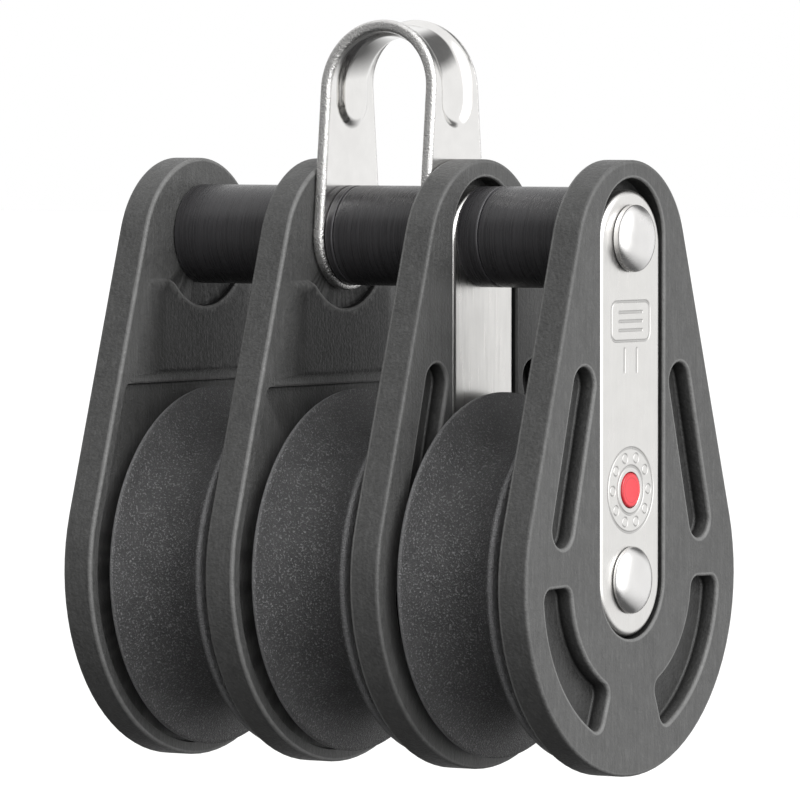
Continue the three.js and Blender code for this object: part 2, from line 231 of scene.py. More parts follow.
class Skin:
    """Points in millimetres with a relief value each, and the faces between them."""

    def __init__(self):
        self.points, self.relief, self.faces, self.count = [], [], [], 0

    def add(self, points, faces, relief):
        """Adds a patch of points, its faces and its relief."""
        self.points.append(points)
        self.relief.append(np.broadcast_to(relief, len(points)))
        self.faces += (faces + self.count).tolist()
        self.count += len(points)

    def rings(self, rings, relief):
        """Joins loops of equal length, given as rows by columns by 3, with quads."""
        rows, columns = rings.shape[:2]
        i, j = np.meshgrid(np.arange(rows - 1), np.arange(columns), indexing="ij")
        k = (j + 1) % columns
        here, above = i * columns, (i + 1) * columns
        faces = np.stack([here + j, here + k, above + k, above + j], -1)
        self.add(rings.reshape(-1, 3), faces.reshape(-1, 4), np.repeat(relief, columns))

    def skirt(self, loop, profile):
        """Carries a profile of (offset, height, relief) rows round a loop, each row being
        the loop grown by its offset. Faces point to the right of the profile's way."""
        profile = np.array(profile, float)
        rings = [
            np.column_stack([grow(loop, offset), np.full(len(loop), height)])
            for offset, height, _ in profile
        ]
        self.rings(np.array(rings), profile[:, 2])

    def sheet(self, height, outline, holes=(), inside=None, up=True, relief=0.0):
        """Fills a flat region between an outline and its holes with triangles, through
        any points given inside it."""
        loops = [outline, *holes]
        starts = np.cumsum([0] + [len(loop) for loop in loops])
        rings = [list(range(a, b)) for a, b in zip(starts, starts[1:])]
        flat = np.concatenate(loops + ([] if inside is None else [inside]))
        made = delaunay_2d_cdt(flat.tolist(), [], rings, 1, 1e-6)
        if not all(made[3]):
            raise RuntimeError(f"the outlines of the sheet at {height:.2f} mm cross")
        source = np.array([ids[0] for ids in made[3]])
        kept = [face for face, within in zip(made[2], made[5]) if list(within) == [0]]
        faces = source[np.array(kept)]
        if not up:
            faces = faces[:, ::-1]
        points = np.column_stack([flat, np.full(len(flat), height)])
        self.add(points, faces, relief)

    def turn(self, profile, sides=96):
        """Turns a profile of (radius, height, relief) rows about the plane's origin:
        a = r cos t, b = r sin t."""
        profile = np.array(profile, float)
        angle = np.arange(sides) * 2 * math.pi / sides
        radius, height = profile[:, :1], profile[:, 1:2]
        rings = np.stack([
            radius * np.cos(angle), radius * np.sin(angle), height + 0 * angle,
        ], -1)
        self.rings(rings, profile[:, 2])

    def shape(self):
        """All points and their relief."""
        return np.concatenate(self.points), np.concatenate(self.relief)


def stand(points, x=0.0, z=0.0):
    """Stands a plane's points up facing +X: a becomes y, b becomes z, height becomes x."""
    return np.column_stack([points[:, 2] + x, points[:, 0], points[:, 1] + z])


def placed_on(side, points, **place):
    """Stands points up on the right side, or half a turn round about Z on the left."""
    return stand(points, **place) * ((-1, -1, 1) if side == "left" else (1, 1, 1))


def make_piece(name, skin, points, node, material, body="frame"):
    """One welded, smooth mesh object that stands for a node and rides on its body."""
    mesh = bpy.data.meshes.new(name)
    mesh.from_pydata(points * MM, [], skin.faces)
    relief = mesh.attributes.new("relief", "FLOAT", "POINT")
    relief.data.foreach_set("value", skin.shape()[1].astype(np.float32))
    work = bmesh.new()
    work.from_mesh(mesh)
    bmesh.ops.remove_doubles(work, verts=work.verts, dist=WELD)
    bmesh.ops.dissolve_degenerate(work, edges=work.edges, dist=WELD / 4)
    open_edges = sum(not edge.is_manifold for edge in work.edges)
    if open_edges:
        raise RuntimeError(f"{name} has {open_edges} open edges")
    work.to_mesh(mesh)
    work.free()
    mesh.shade_smooth()
    mesh.materials.append(material)
    piece = bpy.data.objects.new(name, mesh)
    bpy.context.scene.collection.objects.link(piece)
    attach(piece, body)
    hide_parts(node)


def edged(corners, radii, steps=6):
    """An open profile with rounded corners and a little flat beside each."""
    return rounded(corners, radii, steps=steps, lead=LEAD)


# Cheeks

AXLE_END, HEAD_END, HEAD_RISE = 23.95, 12.4, 38.67  # the teardrop's round ends
LAND_HEIGHT, RECESS_DEPTH, SLOT_DEPTH = 0.8, 0.7, 2.3
CHANNEL_HALF, CHANNEL_RISE = 7.2, 0.12  # the channel's top end is over the head pin
UPPER_SLOT_LOW, UPPER_SLOT_HIGH, UPPER_SLOT_END = (15.6, 6.8), (10.9, 23.9), 2.3
LOWER_SLOT = {"inner": 13.8, "outer": 19.8, "start": -69, "end": -1, "corner": 1.5}
RECESS_TOP, LAND_ARC, LEDGE, LIP, TIP = 23.2, 9.0, 0.06, 1.5, 1.0
SWEPT = 5.35  # under the head pin; the bow's legs keep above this level
LAND_OVER = 0.1  # how far the land is first built over that level
LAND_FLAT_HALF, LAND_RAMP = 8.8, 0.9  # its full-height half width, and its top's slope
GRID = 0.5  # spacing of the points that let the land's sheet bend
RECESS_LEAD = 0.5
FILLET = 0.03  # where the recess and the land meet the inward face
FILLET_LEAD = 0.05
# Painted shade on the land's face and on the recess floor
LAND_RELIEF, RECESS_RELIEF = -0.8, -0.4


def teardrop(inset=0.0):
    """The cheek's outline, brought in by an inset."""
    return hull((0, AXLE_Z), AXLE_END - inset, (0, AXLE_Z + HEAD_RISE), HEAD_END - inset)


def make_cheek():
    """A moulded plate in the YZ plane, outward face up: the outline's skirt, a channel and
    four blind slots in the outward face, a recess and a raised land on the inward face,
    and two pin holes."""
    skin = Skin()
    low, high = box("cheek_right_outer")
    top = (high[0] - low[0] - LAND_HEIGHT) / 2
    floor = box("strap_right_outer")[0][0] - middle_x("right", "outer")
    outline = teardrop()
    rim = size("cheek_edge")
    inset = rim + LEAD
    skirt = edged(
        [(-inset - LEAD, -top), (0, -top), (0, top), (-inset - LEAD, top)],
        [0, rim, rim, 0],
    )
    # The rounded edge's painted highlight is full on the inward side and weak on the outward
    # side
    skirt[skirt[:, 1] > 0, 2] *= 0.3
    skin.skirt(outline, skirt)
    face_line = grow(outline, -inset - LEAD)

    # Outward face
    edge = size("slot_edge")
    margin = edge + 2 * LEAD
    channel = hull((0, AXLE_Z), CHANNEL_HALF, (0, PIN_Z + CHANNEL_RISE), CHANNEL_HALF)
    upper = hull(
        np.add(UPPER_SLOT_LOW, (0, AXLE_Z)), UPPER_SLOT_END,
        np.add(UPPER_SLOT_HIGH, (0, AXLE_Z)), UPPER_SLOT_END, 24,
    )
    lower = sector(**LOWER_SLOT)
    slots = [upper, flipped(upper), lower, flipped(lower)]
    slot_floor = top - SLOT_DEPTH
    wall = edged(
        [(margin, top), (0, top), (0, slot_floor), (-margin, slot_floor)],
        [0, edge, 0.3, 0],
    )
    # Painted shade in the slots: dark walls, and a lighter painted shade on the floor and
    # inside corner
    wall[wall[:, 1] < top - edge - LEAD, 2] = HOLLOW
    wall[wall[:, 0] < 0, 2] = SHALLOW
    for slot in slots:
        skin.skirt(slot, wall)
        skin.sheet(slot_floor, grow(slot, -margin), relief=SHALLOW)
    wall = edged(
        [(margin, top), (0, top), (0, floor), (-margin, floor)], [0, edge * 0.75, 0.2, 0],
    )
    # Painted shade on the channel's walls and floor round the strap
    wall[wall[:, 1] < top - edge, 2] = HOLLOW
    skin.skirt(channel, wall)
    holes = [circle((0, z), PIN_HOLE) for z in (AXLE_Z, PIN_Z)]
    hole_rims = [grow(hole, 2 * LEAD) for hole in holes]
    skin.sheet(top, face_line, [grow(loop, margin) for loop in (channel, *slots)])
    skin.sheet(floor, grow(channel, -margin), hole_rims, relief=HOLLOW)

    # Inward face
    recess, land = recess_loop(), land_loop()
    under = -top + RECESS_DEPTH
    skin.skirt(recess, edged(
        [(-RECESS_LEAD, under), (0, under), (0, -top), (FILLET_LEAD, -top)],
        [0, 0.2, FILLET, 0], 3,
    ))
    # The recess floor gets painted shade
    skin.sheet(
        under, grow(recess, -RECESS_LEAD), [hole_rims[0]], up=False, relief=RECESS_RELIEF,
    )
    borders = [grow(recess, FILLET_LEAD), grow(land, FILLET_LEAD), hole_rims[1]]
    skin.sheet(-top, face_line, borders, up=False)
    add_land(skin, land, -top)
    for hole, end in zip(holes, (under, -top)):
        skin.skirt(hole, [
            (2 * LEAD, floor, 0), (LEAD, floor, 0), (0, floor, 0),
            (0, end, 0), (LEAD, end, 0), (2 * LEAD, end, 0),
        ])
    return skin


def add_land(skin, land, face):
    """The raised land under the head pin. It is built at its full height and then lowered
    by a smooth ramp: to nothing towards its sides and at the level the bow's legs sweep."""
    part = Skin()
    edge, raised = size("land_edge"), face - LAND_HEIGHT
    inset = edge + 3 * LEAD
    part.skirt(land, edged(
        [(-inset, raised), (0, raised), (0, face), (FILLET_LEAD, face)],
        [0, edge, FILLET, 0],
    ))
    across = np.arange(-16, 16.01, GRID)
    y, z = (axis.ravel() for axis in np.meshgrid(across, PIN_Z + np.arange(-19, -5, GRID)))
    margin = inset + 0.3
    clear = np.hypot(y, z - PIN_Z) > LAND_ARC + margin
    low = z > AXLE_Z + RECESS_TOP + LEDGE + margin
    side = np.abs(y) < lip_half_width(z - AXLE_Z)[0] - margin - 0.3
    inside = clear & low & side & (z < PIN_Z - SWEPT - 1.25)
    # The land's face gets painted shade
    part.sheet(
        raised, grow(land, -inset), inside=np.column_stack([y, z])[inside], up=False,
        relief=LAND_RELIEF,
    )
    points, relief = part.shape()
    y, z = points[:, 0], points[:, 1]
    half = lip_half_width(z - AXLE_Z)[0]
    ramp = smooth((half - np.abs(y)) / (half - LAND_FLAT_HALF))
    ramp = ramp * smooth((PIN_Z - SWEPT - z) / LAND_RAMP)
    # The arc's wall about the head pin is painted dark as shade; the land's painted shade
    # fades out with the ramp
    on_arc = np.hypot(y, z - PIN_Z) < LAND_ARC + 0.06
    points[:, 2] = face + (points[:, 2] - face) * ramp
    start = skin.count
    skin.add(points, np.zeros((0, 3), int), np.where(on_arc, HOLLOW, relief) * ramp)
    skin.faces += [[start + i for i in corner] for corner in part.faces]


def middle_x(side, place):
    """The X of a cheek's mid-plane, from the strap side of the plate."""
    low, high = box(f"cheek_{side}_{place}")
    return (low[0] + high[0] + (LAND_HEIGHT if side == "right" else -LAND_HEIGHT)) / 2


def sector(inner, outer, start, end, corner):
    """A ring sector about the axle between two angles, with rounded corners."""
    start, end = math.radians(start), math.radians(end)
    centre = np.array((0, AXLE_Z))
    outer_turn = math.asin(corner / (outer - corner))
    inner_turn = math.asin(corner / (inner + corner))

    def bend(distance, angle, first):
        at = centre + distance * np.array((math.cos(angle), math.sin(angle)))
        return arc(at, corner, angle + first, angle + first + QUARTER, 8)

    return np.concatenate([
        bend(outer - corner, start + outer_turn, -QUARTER),
        arc(centre, outer, start + outer_turn, end - outer_turn)[1:-1],
        bend(outer - corner, end - outer_turn, 0),
        bend(inner + corner, end - inner_turn, QUARTER),
        arc(centre, inner, end - inner_turn, start + inner_turn)[1:-1],
        bend(inner + corner, start + inner_turn, 2 * QUARTER),
    ])


def lip_half_width(height):
    """Half the width between the lips at a height over the axle: on the straight tangent,
    y cos(t) + height sin(t) equals the lower radius."""
    low, high = AXLE_END - LIP, HEAD_END - LIP
    touch = math.asin((low - high) / HEAD_RISE)
    return (low - height * math.sin(touch)) / math.cos(touch), touch


def recess_loop():
    """The lower part of the inset teardrop, cut level under the land."""
    height = RECESS_TOP - LEDGE
    half, touch = lip_half_width(height)
    bowl = arc((0, AXLE_Z), AXLE_END - LIP, math.pi - touch, 2 * math.pi + touch, 96)
    corners = np.vstack([[(half, AXLE_Z + height), (-half, AXLE_Z + height)], bowl])
    radii = np.zeros(len(corners))
    radii[:2] = 1.0
    return rounded(corners, radii, closed=True)[:, :2]


def land_loop():
    """The land between two levels, with its sides along the lips and an arc about the head
    pin cut out of its top. Each tip beside the arc is rounded about a point that is its own
    radius under the top level and outside the arc."""
    low, high = RECESS_TOP + LEDGE, CENTRES - SWEPT + LAND_OVER
    low_half, high_half = lip_half_width(low)[0], lip_half_width(high)[0]
    under = SWEPT - LAND_OVER + TIP
    across = math.sqrt((LAND_ARC + TIP) ** 2 - under ** 2)
    dip = math.atan2(under, across)
    right = arc((across, PIN_Z - under), TIP, QUARTER, math.pi - dip, 8)
    cut = arc((0, PIN_Z), LAND_ARC, -dip, dip - math.pi, 40)[1:-1]
    corners = np.vstack([
        [(-low_half, AXLE_Z + low), (low_half, AXLE_Z + low), (high_half, AXLE_Z + high)],
        right, cut, flipped(right), [(-high_half, AXLE_Z + high)],
    ])
    radii = np.zeros(len(corners))
    radii[[0, 1, 2, -1]] = 1.2
    return rounded(corners, radii, closed=True)[:, :2]


class BLOCK_OT_cheeks(bpy.types.Operator):
    """Makes the four moulded cheeks"""

    bl_idname = "block.cheeks"
    bl_label = "Cheeks"

    def execute(self, context):
        skin = make_cheek()
        points, _ = skin.shape()
        material = cheek_material()
        for side, place in CHEEKS:
            placed = placed_on(side, points, x=abs(middle_x(side, place)))
            name = f"cheek_{side}_{place}"
            make_piece(name + "_moulding", skin, placed, name, material)
        return {"FINISHED"}


# Straps and inlays

INLAY_HEIGHT, INLAY_RADIUS, INLAY_DEPTH = 10.95, 2.1, 0.8
OUTER_RING, INNER_RING = 5.15, 2.95  # radii of the two rings about the inlay
SMALL_RING, SMALL_RING_CIRCLE, SMALL_RING_COUNT = 0.6, 4.05, 10
FRAME_HEIGHT, FRAME_HALF_WIDTH, FRAME_HALF_HEIGHT = 31.5, 4.35, 2.4
BAR_REACH, BAR_HALF, BAR_STEP = 2.6, 0.2, 1.1
STROKE_LOW, STROKE_HIGH, STROKE_HALF, STROKE_APART = 25.4, 28.1, 0.24, 1.4
MARK_SLOPE, MARK_LEAD = 0.05, 0.08


def mark_line(skin, loop, face, weight=1.0):
    """Cuts a closed line of a mark into a face, along a loop, narrower by a weight. Gives
    its two borders."""
    half, low = weight * size("mark_width") / 2, face - size("mark_depth")
    border = half + MARK_LEAD
    skin.skirt(loop, [
        (border, face, 0), (half, face, 0), (half - MARK_SLOPE, low, HOLLOW),
        (MARK_SLOPE - half, low, HOLLOW), (-half, face, 0), (-border, face, 0),
    ])
    return grow(loop, border), grow(loop, -border)


def mark_bar(skin, low, high, half, face):
    """Cuts a plain round-ended bar into a face. Gives its border."""
    bottom, inset = face - size("mark_depth"), MARK_SLOPE + 0.04
    loop = hull(low, half, high, half, 10)
    skin.skirt(loop, [
        (MARK_LEAD, face, 0), (0, face, 0),
        (-MARK_SLOPE, bottom, HOLLOW), (-inset, bottom, HOLLOW),
    ])
    skin.sheet(bottom, grow(loop, -inset), relief=HOLLOW)
    return grow(loop, MARK_LEAD)


def add_marks(skin, face):
    """The plain marks of an outer strap: two rings about the inlay with a circle of small
    rings between them, and a rounded frame with three bars over two upright bars. Gives
    the borders that the face stops at."""
    dot = np.array((0, AXLE_Z + INLAY_HEIGHT))
    outer_out, outer_in = mark_line(skin, circle(dot, OUTER_RING, 96), face)
    inner_out, inner_in = mark_line(skin, circle(dot, INNER_RING, 72), face)
    small_rings = []
    for centre in circle(dot, SMALL_RING_CIRCLE, SMALL_RING_COUNT):
        ring_out, ring_in = mark_line(skin, circle(centre, SMALL_RING, 20), face, 0.5)
        skin.sheet(face, ring_in)
        small_rings.append(ring_out)
    skin.sheet(face, outer_in, [inner_out, *small_rings])
    pocket, lead, base = circle(dot, INLAY_RADIUS + 0.1, 64), 0.3, face - INLAY_DEPTH
    skin.skirt(pocket, edged(
        [(lead, face), (0, face), (0, base), (-lead, base)], [0, 0.08, 0, 0], 3,
    ))
    skin.sheet(base, grow(pocket, -lead))
    skin.sheet(face, inner_in, [grow(pocket, lead)])
    middle_z = AXLE_Z + FRAME_HEIGHT
    corners = np.array([(-1, -1), (1, -1), (1, 1), (-1, 1)])
    frame_loop = rounded(
        corners * (FRAME_HALF_WIDTH, FRAME_HALF_HEIGHT) + (0, middle_z), 1.0, closed=True,
    )[:, :2]
    frame_out, frame_in = mark_line(skin, frame_loop, face)
    bars = [
        mark_bar(skin, (-BAR_REACH, z), (BAR_REACH, z), BAR_HALF, face)
        for z in (middle_z - BAR_STEP, middle_z, middle_z + BAR_STEP)
    ]
    skin.sheet(face, frame_in, bars)
    strokes = [
        mark_bar(skin, (y, AXLE_Z + STROKE_LOW), (y, AXLE_Z + STROKE_HIGH), STROKE_HALF, face)
        for y in (-STROKE_APART, STROKE_APART)
    ]
    return [outer_out, frame_out, *strokes]


def make_strap(marked):
    """A round-ended plate with a large radius round its face and two pin holes; an outer
    one has marks and a pocket for the inlay."""
    skin = Skin()
    low, high = box("strap_right_outer")
    x = middle_x("right", "outer")
    bottom, face = low[0] - x, high[0] - x
    half_width = high[1]
    outline = hull((0, AXLE_Z), half_width, (0, high[2] - half_width), half_width, 64)
    edge = size("strap_edge")
    lead, under_lead, hole_lead = edge + 3 * LEAD, 0.6, 0.5
    skin.skirt(outline, edged(
        [(-under_lead, bottom), (0, bottom), (0, face), (-lead, face)],
        [0, 0.2, edge, 0], 8,
    ))
    holes = [circle((0, z), PIN_HOLE) for z in (AXLE_Z, PIN_Z)]
    for hole in holes:
        skin.skirt(hole, edged(
            [(hole_lead, face), (0, face), (0, bottom), (hole_lead, bottom)],
            [0, 0.1, 0.1, 0], 3,
        ))
    rims = [grow(hole, hole_lead) for hole in holes]
    borders = add_marks(skin, face) if marked else []
    skin.sheet(face, grow(outline, -lead), rims + borders)
    skin.sheet(bottom, grow(outline, -under_lead), rims, up=False)
    return skin


class BLOCK_OT_straps(bpy.types.Operator):
    """Makes the four stainless straps, with plain marks on the outer two"""

    bl_idname = "block.straps"
    bl_label = "Straps"

    def execute(self, context):
        material = strap_material()
        for side, place in CHEEKS:
            skin = make_strap(place == "outer")
            placed = placed_on(side, skin.shape()[0], x=abs(middle_x(side, place)))
            name = f"strap_{side}_{place}"
            make_piece(name + "_plate", skin, placed, name, material)
        return {"FINISHED"}


class BLOCK_OT_inlays(bpy.types.Operator):
    """Makes the red inlay of each outer strap"""

    bl_idname = "block.inlays"
    bl_label = "Inlays"

    def execute(self, context):
        low, high = box("inlay_right")
        base, top = low[0], high[0]
        skin = Skin()
        skin.turn(edged(
            [(0, base), (INLAY_RADIUS, base), (INLAY_RADIUS, top), (1.5, top),
             (0, top - 0.06)],
            [0, 0.08, 0.2, 0.5, 0], 5,
        ), 64)
        points = skin.shape()[0]
        material = inlay_material()
        for side in ("left", "right"):
            placed = placed_on(side, points, z=AXLE_Z + INLAY_HEIGHT)
            make_piece(
                f"inlay_{side}_dot", skin, placed, f"inlay_{side}", material,
            )
        return {"FINISHED"}


# Bow

class BowStrip:
    """The bow's strip laid flat: u runs along it from pin to pin, v across it, and w is the
    height over its middle surface. Bending wraps the middle of it round the crown."""

    def __init__(self):
        high = box("bow")[1]
        self.outer = high[0]
        self.thickness = 1.45
        self.middle = self.outer - self.thickness / 2
        self.crown_z = high[2] - self.outer
        self.leg = self.crown_z - PIN_Z
        self.bend_half = QUARTER * self.middle
        self.pin = self.leg + self.bend_half
        self.end_radius = high[1]
        self.taper = 0.0935
        self.crown_blend = 2.0
        self.flute_depth = 0.7
        self.flute_half = 3.2
        self.bowl_share = 0.28
        self.flute_end = self.pin - 13.5 - self.flute_half

    def half_width(self, u):
        """Half the width at u: the end radius less the taper times the way from the pin,
        with the two tapers blended at the crown by a root of the sum of squares."""
        way = self.pin - np.sqrt(u * u + self.crown_blend ** 2)
        return self.end_radius - self.taper * way

    def outline(self):
        """Round ends about the pins, joined by the tapering sides."""
        along = np.linspace(self.pin, -self.pin, 161)[1:-1]
        side = np.column_stack([along, self.half_width(along)])
        right = arc((self.pin, 0), self.end_radius, -QUARTER, QUARTER, 48)
        left = arc((-self.pin, 0), self.end_radius, QUARTER, 3 * QUARTER, 48)
        return np.concatenate([right, side, left, -side])

    def dip(self, u, v):
        """How far the flute is pressed in: a smooth step of the distance from the flute's
        round-ended centre line, plus a shallow bowl."""
        past = np.maximum(np.abs(u) - self.flute_end, 0)
        distance = np.hypot(past, v)
        slope = size("flute_slope")
        edge = self.flute_half + slope / 4
        step = smooth((edge - distance) / slope)
        bowl = np.clip(1 - (distance / edge) ** 2, 0, 1)
        return self.flute_depth * (step + self.bowl_share * (bowl - step))

    def bent(self, points):
        """x = R sin(t), z = crown + R cos(t) on the crown, where t is u over the middle
        radius and R the middle radius plus w; straight legs beyond a quarter turn."""
        u, v, w = points.T
        radius = self.middle + w - self.dip(u, v)
        turn = np.clip(u / self.middle, -QUARTER, QUARTER)
        drop = np.maximum(np.abs(u) - self.bend_half, 0)
        x = radius * np.sin(turn)
        z = self.crown_z + radius * np.cos(turn) - drop
        return np.column_stack([x, v, z])


def inner_points(strip, holes, step=0.4, margin=0.35):
    """A square grid of points inside the strip, clear of its sides, ends and holes."""
    reach = strip.pin + strip.end_radius
    u, v = np.meshgrid(np.arange(-reach, reach, step), np.arange(-7, 7.01, step))
    u, v = u.ravel() + step / 3, v.ravel()
    border = size("bow_edge") + LEAD + margin
    on_leg = np.abs(v) < strip.half_width(u) - border
    past = np.hypot(np.abs(u) - strip.pin, v)
    in_end = past < strip.end_radius - border
    inside = np.where(np.abs(u) < strip.pin, on_leg, in_end)
    clear = past > holes + margin
    return np.column_stack([u, v])[inside & clear]


class BLOCK_OT_bow(bpy.types.Operator):
    """Makes the bow from a flat strip with rounded edges, bent over its crown"""

    bl_idname = "block.bow"
    bl_label = "Bow"

    def execute(self, context):
        strip = BowStrip()
        skin = Skin()
        half = strip.thickness / 2
        edge = size("bow_edge")
        outline = strip.outline()
        inset = edge + LEAD
        skin.skirt(outline, rounded(
            [(-inset, -half), (0, -half), (0, half), (-inset, half)],
            [0, edge, edge, 0],
        ))
        holes = [circle((side * strip.pin, 0), PIN_HOLE) for side in (-1, 1)]
        lead = 0.3
        for hole in holes:
            skin.skirt(hole, rounded(
                [(lead, half), (0, half), (0, -half), (lead, -half)], [0, 0.12, 0.12, 0],
                steps=3,
            ))
        rims = [grow(hole, lead) for hole in holes]
        points = inner_points(strip, PIN_HOLE + lead)
        border = grow(outline, -inset)
        skin.sheet(half, border, rims, points)
        skin.sheet(-half, border, rims, points, up=False)
        placed = strip.bent(skin.shape()[0])
        make_piece(
            "bow_strip", skin, placed, "bow", bow_material(), "bow",
        )
        return {"FINISHED"}


# Turned pieces: pins, sleeves, collars, races and washers

DOME_RISE = 1.2  # the round part of a rivet head
SLEEVE_EDGE = 0.4
BORE_EDGE = 0.08
BALL_RADIUS, BALL_CIRCLE, BALL_ROW, BALL_COUNT = 2.4, 9.75, 2.6, 8
CAGE_BORE, CAGE_RADIUS, CAGE_HALF, CAGE_EDGE = 9.0, 10.5, 1.2, 0.2


def ring_profile(bore, radius, low, high, edge):
    """A closed ring section with rounded corners: out along the low end, up the outside,
    in along the high end and down the bore."""
    corners = [(bore, low), (radius, low), (radius, high), (bore, high)]
    radii = [BORE_EDGE, edge, edge, BORE_EDGE]
    section = rounded(corners, radii, closed=True, steps=4, lead=LEAD)
    return np.vstack([section, section[:1]])


def make_ring(node, ending, material, edge):
    """A turned ring on a pin that fills a node's box about its own axis."""
    low, high = box(node)
    radius = (high[2] - low[2]) / 2
    skin = Skin()
    skin.turn(ring_profile(PIN_HOLE, radius, low[0], high[0], edge), 128)
    placed = stand(skin.shape()[0], z=(low[2] + high[2]) / 2)
    make_piece(node + ending, skin, placed, node, material)


class BLOCK_OT_pins(bpy.types.Operator):
    """Makes the two riveted pins with a domed head on each end. A dome's radius is the
    head's by cos(t)^0.8 and its height the rise by sin(t)^1.15, a quarter turn of t"""

    bl_idname = "block.pins"
    bl_label = "Pins"

    def execute(self, context):
        material = rivet_material()
        seat = box("strap_right_outer")[1][0]
        for node in ("head_pin", "axle_pin"):
            low, high = box(node)
            radius = (high[2] - low[2]) / 2
            top = high[0]
            sweep = np.linspace(0, QUARTER, 21)[1:-1]
            dome = np.column_stack([
                radius * np.cos(sweep) ** 0.8,
                top - DOME_RISE + DOME_RISE * np.sin(sweep) ** 1.15,
                np.zeros(len(sweep)),
            ])
            side = [
                # The seat rows are painted dark as shade where the head meets the strap
                (PIN_RADIUS, seat, HOLLOW), (radius - 0.15, seat, HOLLOW),
                (radius - 0.03, seat + 0.06, HOLLOW), (radius, seat + 0.2, HOLLOW / 5),
                (radius, top - DOME_RISE, 0),
            ]
            right = np.vstack([side, dome, [(0, top, 0)]])
            left = right[::-1] * (1, -1, 1)
            skin = Skin()
            skin.turn(np.vstack([left, right]), 96)
            placed = stand(skin.shape()[0], z=(low[2] + high[2]) / 2)
            make_piece(node + "_rivet", skin, placed, node, material)
        return {"FINISHED"}


class BLOCK_OT_sleeves(bpy.types.Operator):
    """Makes the turned sleeves and collars on the head pin"""

    bl_idname = "block.sleeves"
    bl_label = "Head sleeves"

    def execute(self, context):
        material = sleeve_material()
        edge = size("turned_edge")
        for side in SIDES:
            make_ring(f"head_sleeve_{side}", "_tube", material, SLEEVE_EDGE)
        for place in ("right", "middle_right", "middle_left", "left"):
            make_ring(f"head_collar_{place}", "_ring", material, edge)
        return {"FINISHED"}


class BLOCK_OT_bearings(bpy.types.Operator):
    """Makes the inner races, thrust washers and ball sets"""

    bl_idname = "block.bearings"
    bl_label = "Bearings"

    def execute(self, context):
        race, washer, ball = race_material(), washer_material(), ball_material()
        edge = size("turned_edge")
        for side in SIDES:
            make_ring(f"inner_race_{side}", "_tube", race, edge)
            for end in "ab":
                node = f"thrust_washer_{side}_{end}"
                make_ring(node, "_ring", washer, edge)
            self.ball_set(side, ball)
        return {"FINISHED"}

    def ball_set(self, side, material):
        """Two rows of balls about a cage ring, the rows half a step apart."""
        centre_x = middle(f"ball_set_{side}")[0]
        skin = Skin()
        cage = ring_profile(CAGE_BORE, CAGE_RADIUS, -CAGE_HALF, CAGE_HALF, CAGE_EDGE)
        skin.turn(cage, 96)
        fall = np.linspace(0, math.pi, 17)
        ball = Skin()
        ball.turn(np.column_stack([
            BALL_RADIUS * np.sin(fall), -BALL_RADIUS * np.cos(fall), np.zeros(len(fall)),
        ]), 24)
        points, relief = ball.shape()
        for row in (-1, 1):
            for step in range(BALL_COUNT):
                angle = (step + row / 4) * 2 * math.pi / BALL_COUNT
                at = (
                    BALL_CIRCLE * math.cos(angle), BALL_CIRCLE * math.sin(angle),
                    row * BALL_ROW,
                )
                skin.add(points + at, np.array(ball.faces), relief)
        placed = stand(skin.shape()[0], x=centre_x, z=AXLE_Z)
        node = f"ball_set_{side}"
        make_piece(node + "_cage", skin, placed, node, material, node)


# Sheaves

GROOVE_HALF, GROOVE_DEPTH = 6.1, 5.2
SHEAVE_BORE, LIP_BORE, LIP_THICKNESS = 12.5, 11.4, 0.95
STEP_INNER, STEP_OUTER, STEP_SLOPE, STEP_DEPTH = 16.2, 21.0, 0.4, 0.25


def sheave_profile(half, radius):
    """The section of a sheave as a closed loop: flat sides, rounded rims, a circular groove
    between them and a stepped bore. The groove's radius is (w^2 + d^2) / 2d for half its
    width w and its depth d."""
    groove = (GROOVE_HALF ** 2 + GROOVE_DEPTH ** 2) / (2 * GROOVE_DEPTH)
    sweep = math.asin(GROOVE_HALF / groove)
    centre = radius - GROOVE_DEPTH + groove
    angle = np.linspace(-sweep, sweep, 41)
    bowl = np.column_stack([centre - groove * np.cos(angle), groove * np.sin(angle)])
    lip = half - LIP_THICKNESS
    low = half - STEP_DEPTH
    side = np.array([
        (SHEAVE_BORE, lip), (LIP_BORE, lip), (LIP_BORE, half), (STEP_INNER, half),
        (STEP_INNER + STEP_SLOPE, low), (STEP_OUTER - STEP_SLOPE, low), (STEP_OUTER, half),
        (radius, half),
    ])
    edge, step_edge = 0.15, 0.12
    side_radii = [edge] * 3 + [step_edge] * 4 + [size("rim_edge")]
    corners = np.vstack([side * (1, -1), bowl, side[::-1]])
    radii = np.concatenate([side_radii, np.zeros(len(bowl)), side_radii[::-1]])
    section = rounded(corners, radii, closed=True, steps=4)
    return np.vstack([section, section[:1]])


class BLOCK_OT_sheaves(bpy.types.Operator):
    """Makes the three grooved sheaves"""

    bl_idname = "block.sheaves"
    bl_label = "Sheaves"

    def execute(self, context):
        material = sheave_material()
        for side in SIDES:
            node = f"sheave_{side}"
            low, high = box(node)
            half, radius = (high[0] - low[0]) / 2, (high[2] - low[2]) / 2
            skin = Skin()
            skin.turn(sheave_profile(half, radius), 192)
            placed = stand(skin.shape()[0], x=(low[0] + high[0]) / 2, z=AXLE_Z)
            make_piece(
                node + "_wheel", skin, placed, node, material, node,
            )
        return {"FINISHED"}


# Shared effects, as node groups

